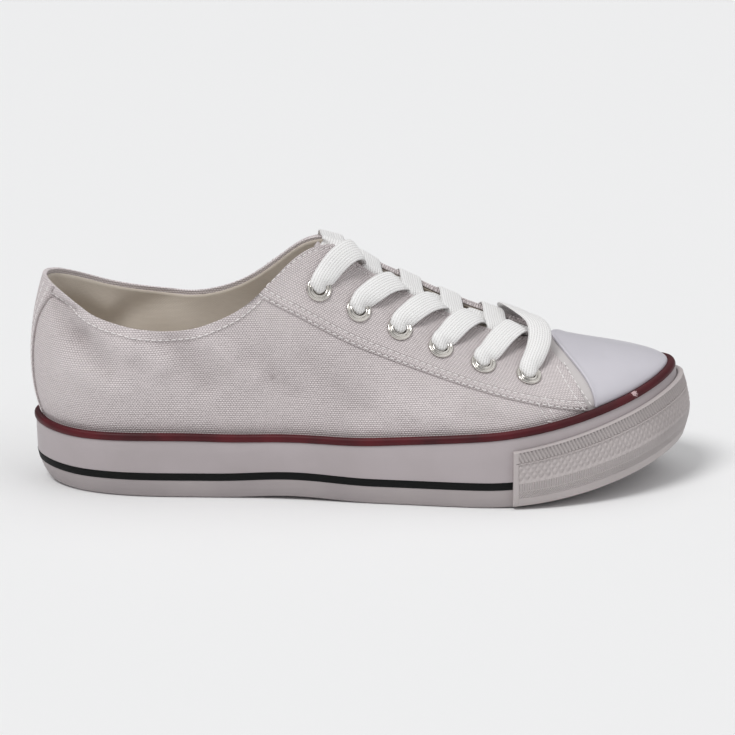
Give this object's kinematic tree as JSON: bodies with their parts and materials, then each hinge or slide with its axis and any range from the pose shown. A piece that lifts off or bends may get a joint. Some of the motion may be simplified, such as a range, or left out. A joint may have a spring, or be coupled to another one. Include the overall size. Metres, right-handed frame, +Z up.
{
  "type": "canvas sneaker",
  "caption": "Low lace-up canvas sneaker with a flat vulcanised rubber sole, a smooth rubber toe cap, a ribbed toe bumper, metal eyelets and flat laces; the right foot's shoe.",
  "frame": {"origin": "on the floor, under the middle of the shoe's length and width", "axes": "+X from heel to toe, +Y to the inner (medial) side of the foot, +Z up"},
  "size_m": [0.2656, 0.098, 0.1033],
  "materials": {
    "canvas": "woven cotton canvas, off-white",
    "lining": "cream cotton lining",
    "rubber": "smooth white rubber",
    "toe_cap": "satin white rubber",
    "maroon_rubber": "glossy maroon rubber",
    "dark_rubber": "near-black rubber",
    "steel": "plated steel",
    "lace": "flat woven cotton lace"
  },
  "bodies": {
    "root": {"outsole": "rubber", "stripe_dark": "dark_rubber", "foxing": "rubber", "piping_red": "maroon_rubber", "toe_bumper": "rubber", "bumper_ribs": "rubber", "toe_cap": "toe_cap", "upper": "canvas", "eyestay_lateral": "canvas", "eyestay_medial": "canvas", "heel_strip": "canvas", "tongue": "canvas", "insole": "lining", "eyelet_lateral_1": "steel", "eyelet_lateral_2": "steel", "eyelet_lateral_3": "steel", "eyelet_lateral_4": "steel", "eyelet_lateral_5": "steel", "eyelet_lateral_6": "steel", "eyelet_medial_1": "steel", "eyelet_medial_2": "steel", "eyelet_medial_3": "steel", "eyelet_medial_4": "steel", "eyelet_medial_5": "steel", "eyelet_medial_6": "steel", "lace_cross_1": "lace", "lace_cross_2": "lace", "lace_cross_3": "lace", "lace_cross_4": "lace", "lace_cross_5": "lace", "lace_bar_6": "lace"}
  },
  "joints": []
}
